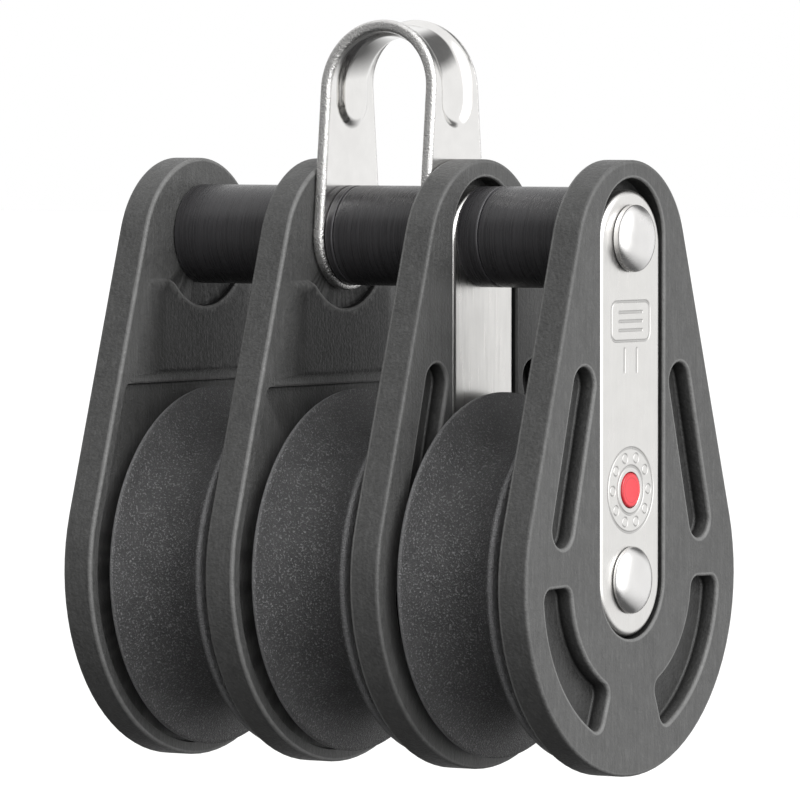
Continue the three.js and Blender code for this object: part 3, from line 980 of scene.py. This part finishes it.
class Tree:
    """A node tree with short calls to add and join nodes."""

    def __init__(self, tree):
        self.tree = tree

    def node(self, kind, inputs=None, **settings):
        """Adds a node. Inputs are values or the outputs of other nodes."""
        made = self.tree.nodes.new(kind)
        for key, value in settings.items():
            setattr(made, key, value)
        for key, value in (inputs or {}).items():
            socket = made.inputs[key]
            if isinstance(value, bpy.types.NodeSocket):
                self.tree.links.new(value, socket)
            else:
                socket.default_value = value
        return made

    def math(self, operation, first, second=0.0, clamp=False):
        """A sum, product or other step of two numbers."""
        made = self.node(
            "ShaderNodeMath", {0: first, 1: second}, operation=operation, use_clamp=clamp,
        )
        return made.outputs[0]

    def remap(self, value, low, high, to_low, to_high):
        """Maps one range of numbers to another, held at its ends."""
        made = self.node("ShaderNodeMapRange", {
            "Value": value, "From Min": low, "From Max": high,
            "To Min": to_low, "To Max": to_high,
        })
        return made.outputs["Result"]

    def blend(self, factor, first, second):
        """A mix of two colours."""
        made = self.node(
            "ShaderNodeMix", {"Factor": factor, 6: first, 7: second}, data_type="RGBA",
        )
        return made.outputs[2]

    def tint(self, mask, amount, first, second):
        """A mix of two colours by a mask times an amount."""
        return self.blend(self.math("MULTIPLY", mask, amount), first, second)

    def noise(self, scale, detail=3.0, stretch=(1, 1, 1), roughness=0.5):
        """Noise over object coordinates in millimetres, stretched along an axis."""
        place = self.node("ShaderNodeTexCoord").outputs["Object"]
        grid = tuple(1 / MM * s for s in stretch)
        mapped = self.node("ShaderNodeMapping", {"Vector": place, "Scale": grid})
        made = self.node("ShaderNodeTexNoise", {
            "Vector": mapped.outputs[0], "Scale": scale, "Detail": detail,
            "Roughness": roughness,
        })
        return made.outputs[0]

    def group(self, name, **inputs):
        """Places a shared effect with its own values."""
        made = self.node("ShaderNodeGroup")
        made.node_tree = EFFECTS[name]()
        for key, value in inputs.items():
            socket = made.inputs[key.replace("_", " ").capitalize()]
            if isinstance(value, bpy.types.NodeSocket):
                self.tree.links.new(value, socket)
            else:
                socket.default_value = value
        return made.outputs


def effect(name, inputs, outputs):
    """A new shader node group with number inputs and outputs, and its two end nodes."""
    tree = bpy.data.node_groups.new(name, "ShaderNodeTree")
    number = "NodeSocketFloat"
    for label, default in inputs.items():
        socket = tree.interface.new_socket(label, in_out="INPUT", socket_type=number)
        socket.default_value = default
    for label in outputs:
        tree.interface.new_socket(label, in_out="OUTPUT", socket_type=number)
    work = Tree(tree)
    given = work.node("NodeGroupInput").outputs
    return tree, work, given, work.node("NodeGroupOutput").inputs


def once(name):
    """Builds a node group the first time it is asked for."""
    def keep(build):
        def find():
            return bpy.data.node_groups.get(name) or build()
        return find
    return keep


@once("moulded grain")
def moulded_grain():
    """Mottling of a fibre-filled moulding: broad clouds, fine grain, and short flecks."""
    tree, work, given, out = effect(
        "moulded grain", {"Amount": 1.0}, ["Clouds", "Grain", "Flecks"],
    )
    clouds = work.noise(0.35, 4)
    grain = work.noise(2.6, 4)
    flecks = work.noise(2.2, 3, (1, 1, 0.3))
    fine = work.math("MULTIPLY", grain, given["Amount"])
    tree.links.new(work.remap(clouds, 0.32, 0.68, 0, 1), out["Clouds"])
    tree.links.new(work.remap(fine, 0.3, 0.7, 0, 1), out["Grain"])
    tree.links.new(work.remap(flecks, 0.52, 0.68, 0, 1), out["Flecks"])
    return tree


@once("edge wear")
def edge_wear_and_painted_light():
    """The relief attribute split into edges painted lighter, as worn edges with painted
    highlight, and hollows painted dark, as painted shade and as the colour of etched marks;
    the edges are broken up by noise.
    """
    tree, work, given, out = effect("edge wear", {"Break up": 0.4}, ["Edge", "Hollow"])
    relief = work.node("ShaderNodeAttribute", attribute_name="relief").outputs["Fac"]
    patches = work.remap(work.noise(1.1, 4), 0.3, 0.7, 0, 1)
    kept = work.math("SUBTRACT", 1.0, work.math("MULTIPLY", patches, given["Break up"]))
    edge = work.math("MULTIPLY", work.math("MAXIMUM", relief, 0.0), kept)
    hollow = work.math("MAXIMUM", work.math("MULTIPLY", relief, -1.0), 0.0)
    tree.links.new(edge, out["Edge"])
    tree.links.new(hollow, out["Hollow"])
    return tree


@once("drawn lines")
def drawn_lines():
    """Fine lines along Z, as left by a trimming tool or by brushing."""
    tree, work, given, out = effect("drawn lines", {"Strength": 1.0}, ["Lines"])
    fine = work.noise(3.2, 3, (1, 1, 0.05))
    coarse = work.noise(1.1, 3, (1, 1, 0.08))
    both = work.math(
        "ADD", work.math("MULTIPLY", fine, 0.6), work.math("MULTIPLY", coarse, 0.4),
    )
    level = work.math("MULTIPLY", work.remap(both, 0.35, 0.65, 0, 1), given["Strength"])
    tree.links.new(level, out["Lines"])
    return tree


@once("turned lines")
def turned_lines():
    """Fine rings round the X axis, as left by turning."""
    tree, work, given, out = effect("turned lines", {"Strength": 1.0}, ["Lines"])
    rings = work.noise(6.0, 4, (1, 0.02, 0.02), 0.7)
    level = work.math("MULTIPLY", work.remap(rings, 0.35, 0.65, 0, 1), given["Strength"])
    tree.links.new(level, out["Lines"])
    return tree


@once("speckle")
def speckle():
    """Small bright specks: the top of a fine noise."""
    tree, work, given, out = effect("speckle", {"Level": 0.62}, ["Specks", "Fine"])
    fine = work.noise(4.2, 3, (1, 1, 1), 0.6)
    above = work.math("SUBTRACT", fine, given["Level"])
    tree.links.new(work.math("MULTIPLY", above, 8.0, clamp=True), out["Specks"])
    tree.links.new(work.remap(fine, 0.3, 0.7, 0, 1), out["Fine"])
    return tree


EFFECTS = {
    "grain": moulded_grain, "wear_and_painted_light": edge_wear_and_painted_light, "drawn": drawn_lines,
    "turned": turned_lines, "speckle": speckle,
}


# Finishes

def finish(name, settings):
    """A new material: its tree and its main shader, with the constant settings made."""
    material = bpy.data.materials.new(name)
    material.use_nodes = True
    work = Tree(material.node_tree)
    shader = material.node_tree.nodes["Principled BSDF"]
    for key, value in settings.items():
        shader.inputs[key].default_value = value
    return material, work, shader


def scaled(colour_value, factor):
    """A colour made lighter or darker."""
    return tuple(min(c * factor, 1.0) for c in colour_value[:3]) + (1.0,)


def connect(work, shader, colour_out, roughness, height, strength, distance):
    """Joins colour, roughness and a bump of a height to the shader."""
    links = work.tree.links
    links.new(colour_out, shader.inputs["Base Color"])
    links.new(roughness, shader.inputs["Roughness"])
    bump = work.node("ShaderNodeBump", {
        "Height": height, "Strength": strength, "Distance": distance * MM,
    })
    links.new(bump.outputs[0], shader.inputs["Normal"])


def cheek_material():
    """Black moulding: mottled face, trimmed edge with fine lines, rounded edges painted
    lighter as worn edge and painted highlight, and painted shade in slots, channel, recess
    and land.
    """
    material, work, shader = finish("cheek moulding", {"Specular IOR Level": 0.45})
    base = shade("cheek")
    grain = work.group("grain", amount=1.0)
    wear_and_painted_light = work.group("wear_and_painted_light", break_up=0.35)
    lines = work.group("drawn", strength=1.0)
    cloudy = work.blend(grain["Clouds"], scaled(base, 0.85), scaled(base, 1.15))
    grainy = work.tint(grain["Grain"], 0.5, cloudy, scaled(base, 1.6))
    flecked = work.tint(grain["Flecks"], 0.3, grainy, scaled(base, 2.0))
    lined = work.tint(lines["Lines"], 0.35, flecked, scaled(base, 0.5))
    # Rounded edges painted lighter, as worn edge and painted highlight
    worn_and_lit_edges = work.tint(wear_and_painted_light["Edge"], 0.8, lined, scaled(base, 2.6))
    # Painted shade in the hollows: slots, channel, recess floor and land
    dark = work.tint(wear_and_painted_light["Hollow"], 0.92, worn_and_lit_edges, scaled(base, 0.08))
    rough = work.remap(grain["Grain"], 0, 1, 0.4, 0.62)
    height = work.math("ADD", grain["Grain"], work.math("MULTIPLY", lines["Lines"], 0.5))
    connect(work, shader, dark, rough, height, 0.6, 0.06)
    return material


def sheave_material():
    """Black acetal with a fine speckle of grain, made bright as painted glints, and rims
    painted lighter as painted highlight.
    """
    material, work, shader = finish("sheave moulding", {"Specular IOR Level": 0.5})
    base = shade("sheave")
    specks = work.group("speckle", level=0.54)
    wear_and_painted_light = work.group("wear_and_painted_light", break_up=0.3)
    clouds = work.group("grain", amount=1.0)["Clouds"]
    cloudy = work.blend(clouds, scaled(base, 0.8), scaled(base, 1.1))
    # Bright specks: grain of the acetal, made bright as painted glints
    speckled = work.tint(specks["Specks"], 0.7, cloudy, scaled(base, 5.0))
    # Rim edges painted lighter as painted highlight, broken up like worn edges
    worn_and_lit_edges = work.tint(wear_and_painted_light["Edge"], 0.8, speckled, scaled(base, 4.0))
    rough = work.remap(specks["Fine"], 0, 1, 0.3, 0.5)
    connect(work, shader, worn_and_lit_edges, rough, specks["Fine"], 1.0, 0.14)
    return material


def turned_plastic(name, base, low, high):
    """Black acetal with fine turned rings."""
    material, work, shader = finish(name, {"Specular IOR Level": 0.5})
    rings = work.group("turned", strength=1.0)["Lines"]
    wear_and_painted_light = work.group("wear_and_painted_light", break_up=0.3)
    ringed = work.blend(rings, scaled(base, 0.75), scaled(base, 1.4))
    # Rounded edges painted lighter, as worn edge and painted highlight
    worn_and_lit_edges = work.tint(wear_and_painted_light["Edge"], 0.5, ringed, scaled(base, 3.0))
    rough = work.remap(rings, 0, 1, low, high)
    connect(work, shader, worn_and_lit_edges, rough, rings, 0.5, 0.03)
    return material


def sleeve_material():
    """Satin black of the head sleeves."""
    return turned_plastic("sleeve plastic", shade("sleeve"), 0.22, 0.38)


def washer_material():
    """Dull black of the thrust washers."""
    return turned_plastic("washer plastic", shade("washer"), 0.45, 0.6)


def ball_material():
    """White acetal with a faint mottling."""
    material, work, shader = finish("ball plastic", {"Specular IOR Level": 0.5})
    base = shade("ball")
    grain = work.group("grain", amount=1.0)
    cloudy = work.blend(grain["Clouds"], scaled(base, 0.9), base)
    rough = work.remap(grain["Grain"], 0, 1, 0.2, 0.32)
    connect(work, shader, cloudy, rough, grain["Grain"], 0.1, 0.01)
    return material


def inlay_material():
    """Glossy red moulding, darker round its edge."""
    material, work, shader = finish("red inlay", {
        "Specular IOR Level": 0.5, "Coat Weight": 0.5, "Coat Roughness": 0.08,
    })
    base = shade("inlay")
    grain = work.group("grain", amount=1.0)
    wear_and_painted_light = work.group("wear_and_painted_light", break_up=0.0)
    cloudy = work.blend(grain["Clouds"], scaled(base, 0.88), base)
    rimmed = work.tint(wear_and_painted_light["Edge"], 0.6, cloudy, scaled(base, 0.45))
    rough = work.remap(grain["Grain"], 0, 1, 0.28, 0.4)
    connect(work, shader, rimmed, rough, grain["Grain"], 0.15, 0.01)
    return material


def bow_material():
    """Polished strip with rougher cut edges."""
    material, work, shader = finish("polished stainless", {"Metallic": 1.0})
    base = shade("bow")
    wear_and_painted_light = work.group("wear_and_painted_light", break_up=0.0)
    specks = work.group("speckle", level=0.56)
    clouds = work.group("grain", amount=1.0)["Clouds"]
    cloudy = work.blend(clouds, scaled(base, 0.94), base)
    cut = work.tint(wear_and_painted_light["Edge"], 0.25, cloudy, scaled(base, 0.7))
    smooth = work.remap(clouds, 0, 1, 0.1, 0.16)
    rough = work.math("ADD", smooth, work.math("MULTIPLY", wear_and_painted_light["Edge"], 0.14))
    height = work.math("MULTIPLY", specks["Fine"], wear_and_painted_light["Edge"])
    connect(work, shader, cut, rough, height, 0.8, 0.07)
    return material


def rivet_material():
    """Polished rivet heads, with painted shade where they meet the strap."""
    material, work, shader = finish("rivet stainless", {"Metallic": 1.0})
    base = shade("rivet")
    clouds = work.group("grain", amount=1.0)["Clouds"]
    wear_and_painted_light = work.group("wear_and_painted_light", break_up=0.3)
    cloudy = work.blend(clouds, scaled(base, 0.93), base)
    # Painted shade where the head meets the strap
    seat_painted_shade = work.tint(wear_and_painted_light["Hollow"], 0.95, cloudy, scaled(base, 0.06))
    rough = work.remap(clouds, 0, 1, 0.16, 0.3)
    connect(work, shader, seat_painted_shade, rough, clouds, 0.3, 0.05)
    return material


def strap_material():
    """Satin plate, drawn lengthways, with dark marks."""
    material, work, shader = finish("strap stainless", {"Metallic": 1.0})
    base = shade("strap")
    lines = work.group("drawn", strength=1.0)["Lines"]
    wear_and_painted_light = work.group("wear_and_painted_light", break_up=0.0)
    clouds = work.group("grain", amount=1.0)["Clouds"]
    cloudy = work.blend(clouds, scaled(base, 0.95), base)
    lined = work.tint(lines, 0.4, cloudy, scaled(base, 0.9))
    marked = work.tint(wear_and_painted_light["Hollow"], 0.45, lined, scaled(base, 0.4))
    rough = work.remap(lines, 0, 1, 0.26, 0.36)
    connect(work, shader, marked, rough, lines, 0.12, 0.01)
    return material


def race_material():
    """Ground stainless tube."""
    material, work, shader = finish("race stainless", {"Metallic": 1.0})
    base = shade("race")
    rings = work.group("turned", strength=1.0)["Lines"]
    ringed = work.blend(rings, scaled(base, 0.85), base)
    rough = work.remap(rings, 0, 1, 0.2, 0.32)
    connect(work, shader, ringed, rough, rings, 0.2, 0.01)
    return material


def floor_material():
    """Pale matt floor with a faint cloud."""
    material, work, shader = finish("pale floor", {"Specular IOR Level": 0.1})
    base = shade("floor")
    clouds = work.group("grain", amount=1.0)
    cloudy = work.blend(clouds["Clouds"], scaled(base, 0.99), base)
    rough = work.remap(clouds["Grain"], 0, 1, 0.8, 0.9)
    connect(work, shader, cloudy, rough, clouds["Grain"], 0.02, 0.01)
    return material


# Stage: floor, light and camera

VIEW_AZIMUTH, VIEW_ELEVATION = 33.584, 2.158
VIEW_DISTANCE, VIEW_LENS, TARGET_OVER_AXLE = 1.0364, 376.87, 0.020
VIEW_SHIFT = (0.00075, 0.0124)
FLOOR_DROP, FLOOR_REACH, FLOOR_CELLS = 60, 6.0, 8  # millimetres, metres


def direction(azimuth, elevation):
    """A unit vector from the block: azimuth turns from -Y towards +X, elevation rises."""
    a, e = math.radians(azimuth), math.radians(elevation)
    return Vector((math.sin(a) * math.cos(e), -math.cos(a) * math.cos(e), math.sin(e)))


def add_sun(name, azimuth, elevation, spread, strength):
    """A soft even light from a bearing, its spread given in degrees."""
    light = bpy.data.lights.new(name, "SUN")
    light.angle, light.energy = math.radians(spread), strength
    lamp = bpy.data.objects.new(name, light)
    lamp.rotation_euler = direction(azimuth, elevation).to_track_quat("Z", "Y").to_euler()
    bpy.context.scene.collection.objects.link(lamp)


def add_camera():
    """A long lens that looks from the front right, slightly above the sheaves."""
    camera = bpy.data.cameras.new("camera")
    camera.sensor_width, camera.lens = 36, VIEW_LENS
    camera.shift_x, camera.shift_y = VIEW_SHIFT
    camera.clip_start, camera.clip_end = 0.01, 100
    holder = bpy.data.objects.new("camera", camera)
    back = direction(VIEW_AZIMUTH, VIEW_ELEVATION)
    target = Vector((0, 0, AXLE_Z * MM + TARGET_OVER_AXLE))
    holder.location = target + back * VIEW_DISTANCE
    holder.rotation_euler = back.to_track_quat("Z", "Y").to_euler()
    bpy.context.scene.collection.objects.link(holder)
    bpy.context.scene.camera = holder


def add_world():
    """White to look at. The block itself is lit by an even white room that is dim low at
    the front left, dim under the floor, dim in one patch behind, and brighter at the right.
    Every patch fades in with the dot product of two directions."""
    world = bpy.data.worlds.new("studio")
    world.use_nodes = True
    work = Tree(world.node_tree)
    world.node_tree.nodes.clear()
    way = work.node("ShaderNodeTexCoord").outputs["Generated"]

    def patch(azimuth, elevation, start, full):
        near = work.node(
            "ShaderNodeVectorMath", {0: way, 1: tuple(direction(azimuth, elevation))},
            operation="DOT_PRODUCT",
        )
        return work.remap(near.outputs["Value"], start, full, 0, 1)

    def dimmed(light, amount, factor):
        return work.math("MULTIPLY", light, work.remap(amount, 0, 1, 1, factor))

    light = work.remap(patch(75, 20, 0.6, 0.95), 0, 1, 1.0, 2.4)
    not_above = work.remap(patch(0, 90, 0.45, 0.65), 0, 1, 1, 0)
    front_left = work.math("MULTIPLY", patch(-45, 0, 0.3, 0.8), not_above)
    light = dimmed(light, front_left, 0.24)
    light = dimmed(light, patch(0, -90, 0.2, 0.6), 0.12)
    light = dimmed(light, patch(176, 30, 0.9, 0.97), 0.15)
    seen = work.node("ShaderNodeBackground", {"Color": (1, 1, 1, 1), "Strength": 1.0})
    lit = work.node("ShaderNodeBackground", {"Color": (1, 1, 1, 1), "Strength": light})
    path = work.node("ShaderNodeLightPath").outputs["Is Camera Ray"]
    mix = work.node("ShaderNodeMixShader", {0: path, 1: lit.outputs[0], 2: seen.outputs[0]})
    work.node("ShaderNodeOutputWorld", {"Surface": mix.outputs[0]})
    bpy.context.scene.world = world


class BLOCK_OT_stage(bpy.types.Operator):
    """Makes the pale floor, the studio light and the camera"""

    bl_idname = "block.stage"
    bl_label = "Stage"

    def execute(self, context):
        low, row = (AXLE_Z - FLOOR_DROP) * MM, FLOOR_CELLS + 1
        line, cells = np.linspace(-FLOOR_REACH, FLOOR_REACH, row), range(FLOOR_CELLS)
        x, y = (axis.ravel() for axis in np.meshgrid(line, line, indexing="ij"))
        points = np.column_stack([x, y, np.full(len(x), low)])
        i, j = (axis.ravel() for axis in np.meshgrid(cells, cells, indexing="ij"))
        corner = i * row + j
        faces = np.column_stack([corner, corner + row, corner + row + 1, corner + 1])
        mesh = bpy.data.meshes.new("studio_floor")
        mesh.from_pydata(points, [], faces.tolist())
        mesh.materials.append(floor_material())
        floor = bpy.data.objects.new("studio_floor", mesh)
        context.scene.collection.objects.link(floor)
        floor.visible_diffuse = floor.visible_glossy = False
        add_sun("key_light", 80, 35, 40, 1.2)
        add_world()
        add_camera()
        context.scene.view_settings.view_transform = "Standard"
        return {"FINISHED"}


# Add-on

STEPS = (
    BLOCK_OT_stage, BLOCK_OT_cheeks, BLOCK_OT_straps, BLOCK_OT_inlays, BLOCK_OT_bow,
    BLOCK_OT_pins, BLOCK_OT_sleeves, BLOCK_OT_bearings, BLOCK_OT_sheaves,
)


class BLOCK_PT_panel(bpy.types.Panel):
    """Lists the block's pieces, sizes and colours"""

    bl_idname = "BLOCK_PT_panel"
    bl_label = "Rope Block"
    bl_space_type = "VIEW_3D"
    bl_region_type = "UI"
    bl_category = "Rope Block"

    def draw(self, context):
        for step in STEPS:
            self.layout.operator(step.bl_idname)
        for group in (context.scene.block_sizes, context.scene.block_colours):
            for key in group.bl_rna.properties.keys():
                if key not in ("rna_type", "name"):
                    self.layout.prop(group, key)


CLASSES = (BlockSizes, BlockColours, *STEPS, BLOCK_PT_panel)


def register():
    """Registers the classes and hangs the two property groups on the scene."""
    for cls in CLASSES:
        bpy.utils.register_class(cls)
    bpy.types.Scene.block_sizes = bpy.props.PointerProperty(type=BlockSizes)
    bpy.types.Scene.block_colours = bpy.props.PointerProperty(type=BlockColours)


def unregister():
    """Takes the property groups and classes away again."""
    del bpy.types.Scene.block_colours
    del bpy.types.Scene.block_sizes
    for cls in reversed(CLASSES):
        bpy.utils.unregister_class(cls)


def main():
    """Makes every piece in order."""
    register()
    for step in STEPS:
        group, action = step.bl_idname.split(".")
        getattr(getattr(bpy.ops, group), action)()


if __name__ == "__main__":
    main()
